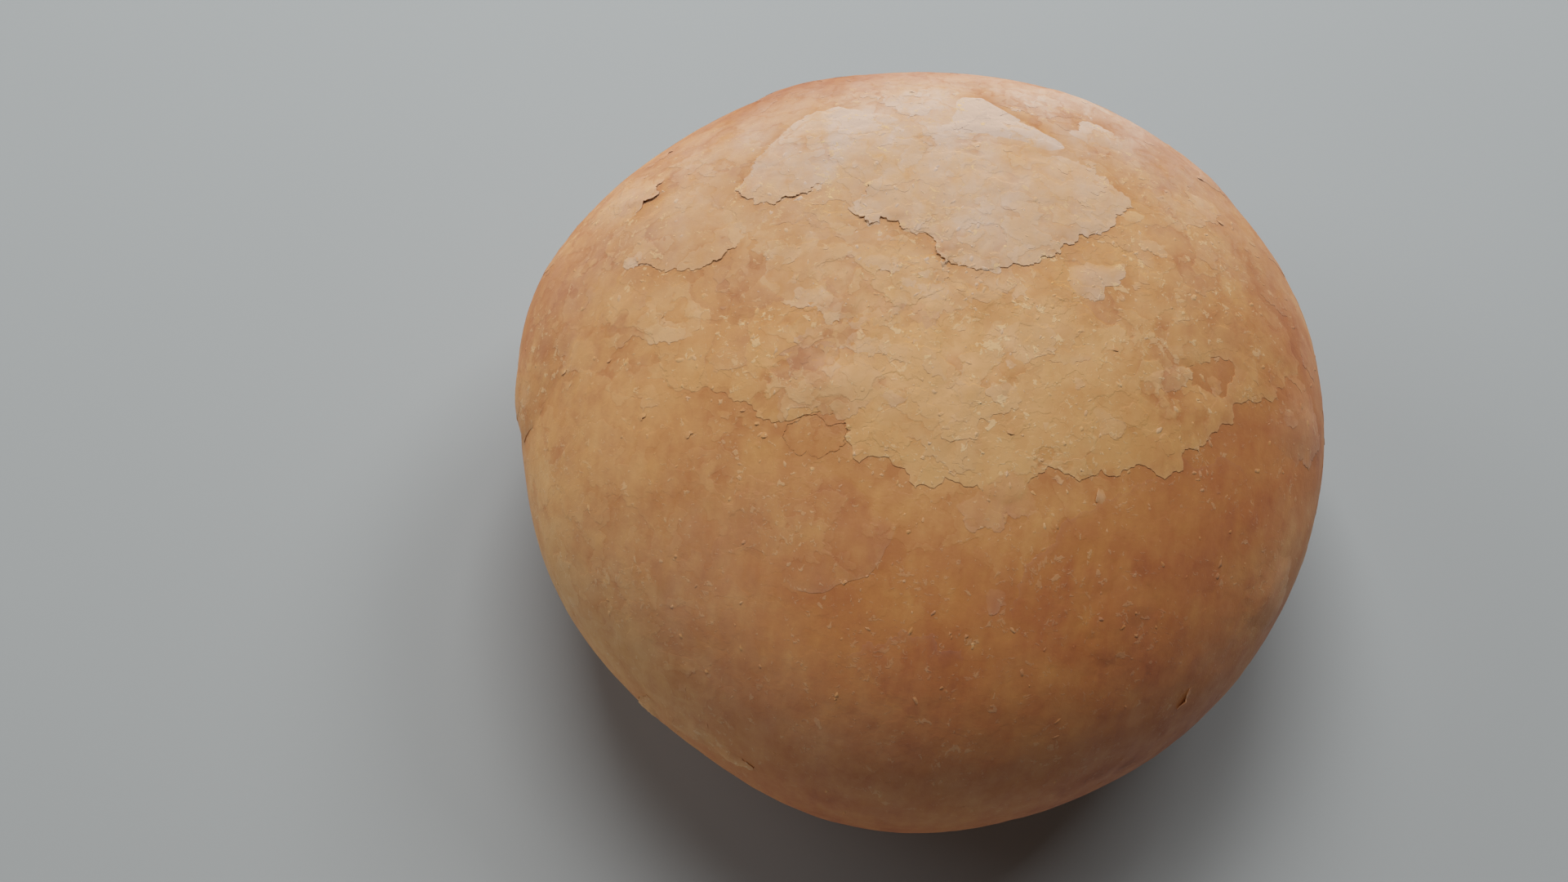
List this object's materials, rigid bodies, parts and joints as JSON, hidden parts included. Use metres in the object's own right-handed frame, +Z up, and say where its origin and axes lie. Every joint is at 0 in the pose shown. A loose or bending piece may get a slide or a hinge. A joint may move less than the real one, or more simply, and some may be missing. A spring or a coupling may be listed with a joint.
{
  "type": "bread roll",
  "caption": "Round crusty bread roll, domed on top and flat underneath, its pale brown crust flaked into thin ragged plates.",
  "frame": {"origin": "middle of the flat underside that the roll rests on", "axes": "+Z up through the crown, -Y towards the side first seen, +X to its right"},
  "size_m": [0.1036, 0.1024, 0.0584],
  "materials": {
    "crust": "dry baked crust, satin, pale and flaky on top and browner down the sides"
  },
  "bodies": {
    "root": {"bread_roll": "crust"}
  },
  "joints": []
}
